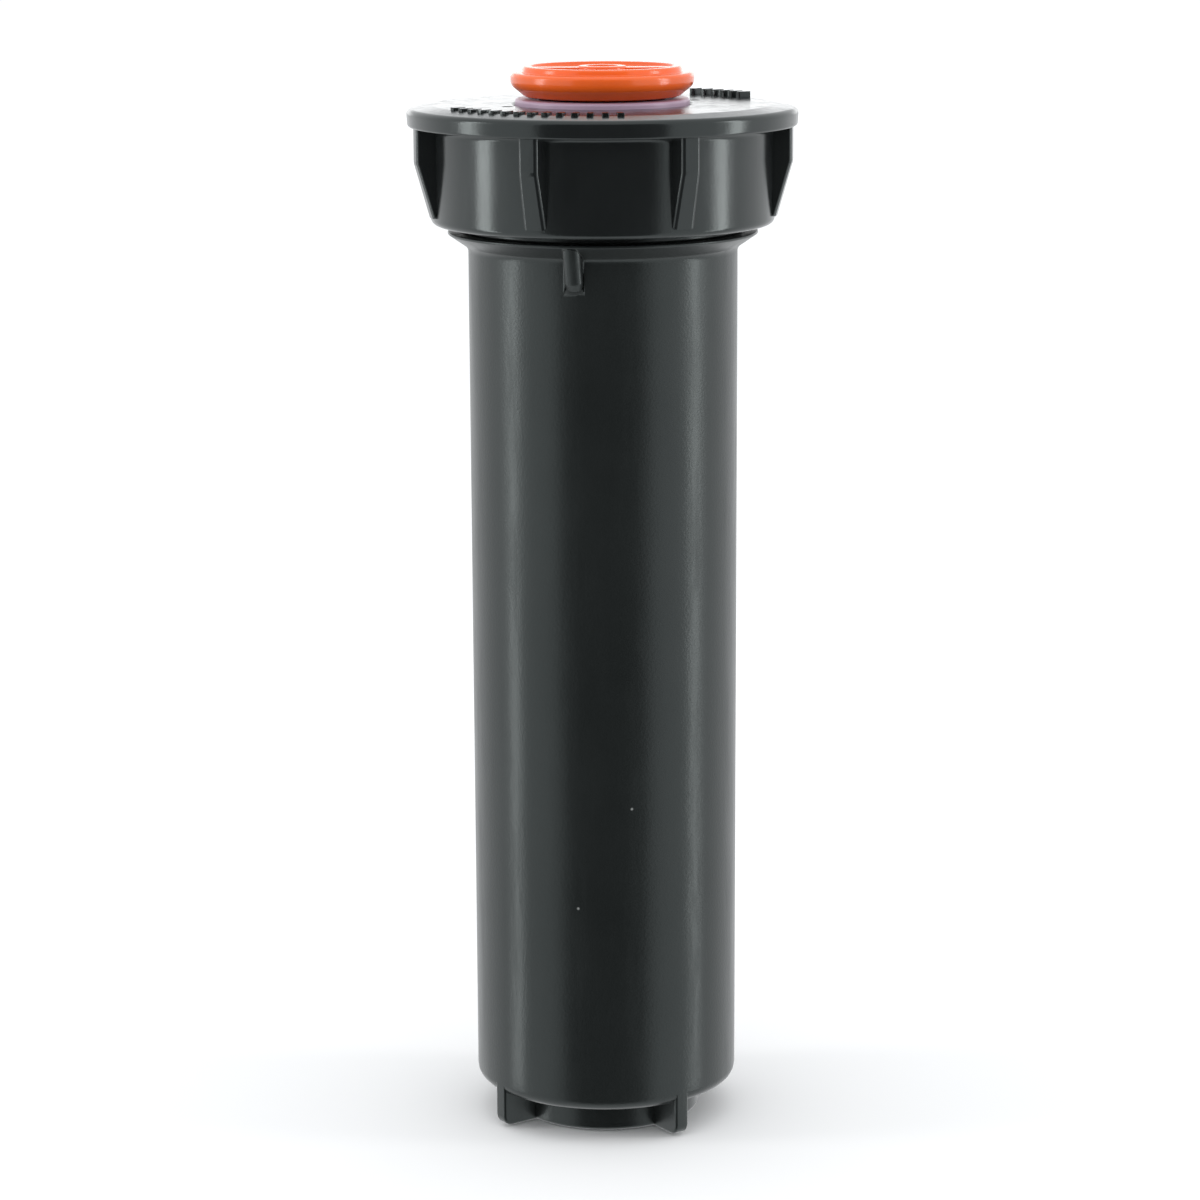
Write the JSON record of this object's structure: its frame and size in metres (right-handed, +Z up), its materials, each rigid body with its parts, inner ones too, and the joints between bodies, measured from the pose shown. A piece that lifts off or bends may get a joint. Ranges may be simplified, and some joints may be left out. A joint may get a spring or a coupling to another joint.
{
  "type": "pop up sprinkler",
  "caption": "Pop up spray sprinkler body: ribbed screw cap, sealed spring-returned riser, flush plug and threaded bottom inlet.",
  "frame": {"origin": "on the axis, at the level of the inlet's mouth and the feet of the case's fins", "axes": "+Z up along the case, from the inlet to the cap; fins and guide ribs are square to each other in X and Y"},
  "size_m": [0.057, 0.057, 0.1575],
  "materials": {
    "case_plastic": "satin moulded black",
    "cap_plastic": "glossy moulded black",
    "riser_plastic": "smooth moulded black",
    "plug_plastic": "glossy moulded orange",
    "grey_plastic": "moulded grey",
    "natural_acetal": "natural moulded acetal",
    "seal_mauve": "smooth light mauve elastomer",
    "seal_rubber": "smooth dark elastomer",
    "spring_steel": "drawn stainless wire"
  },
  "bodies": {
    "case": {"case": "case_plastic"},
    "seal_set": {"wiper_seal": "seal_mauve", "seal_support_ring": "grey_plastic", "retract_spring": "spring_steel"},
    "cap": {"cap": "cap_plastic"},
    "ratchet": {"ratchet_ring": "natural_acetal"},
    "riser": {"riser_stem": "riser_plastic", "inlet_cage": "grey_plastic", "check_valve_seal": "seal_rubber", "check_valve_rivet": "natural_acetal", "regulator_housing": "natural_acetal", "regulator_end_cap": "natural_acetal", "regulator_seat": "seal_rubber", "regulator_spring": "spring_steel", "plunger_lower_o_ring": "seal_rubber", "housing_o_rings": "seal_rubber"},
    "plunger": {"regulator_plunger": "natural_acetal", "plunger_upper_o_ring": "seal_rubber"},
    "plug": {"flush_plug": "plug_plastic", "plug_o_ring": "seal_rubber"}
  },
  "joints": [
    {"name": "cap_lift", "type": "slide", "parent": "case", "child": "seal_set", "axis": [0, 0, 1], "range_m": [0, 0.00751]},
    {"name": "cap_turn", "type": "hinge", "parent": "seal_set", "child": "cap", "pos_m": [0, 0, 0.15], "axis": [0, 0, 1], "range_deg": [0, 900]},
    {"name": "pop_up", "type": "slide", "parent": "seal_set", "child": "ratchet", "axis": [0, 0, 1], "range_m": [0, 0.1], "stiffness_N_per_m": 260, "springref_m": -0.06, "deforming": ["retract_spring"]},
    {"name": "riser_turn", "type": "hinge", "parent": "ratchet", "child": "riser", "pos_m": [0, 0, 0.08], "axis": [0, 0, 1], "continuous": true},
    {"name": "plug_pull", "type": "slide", "parent": "riser", "child": "plug", "axis": [0, 0, 1], "range_m": [0, 0.012]},
    {"name": "regulator_close", "type": "slide", "parent": "riser", "child": "plunger", "axis": [0, 0, -1], "range_m": [0, 0.0016], "stiffness_N_per_m": 2500, "springref_m": -0.004, "deforming": ["regulator_spring"]}
  ],
  "couplings": [
    {"joint": "cap_lift", "follows": "cap_turn", "m_per_rad": 0.00047746}
  ]
}
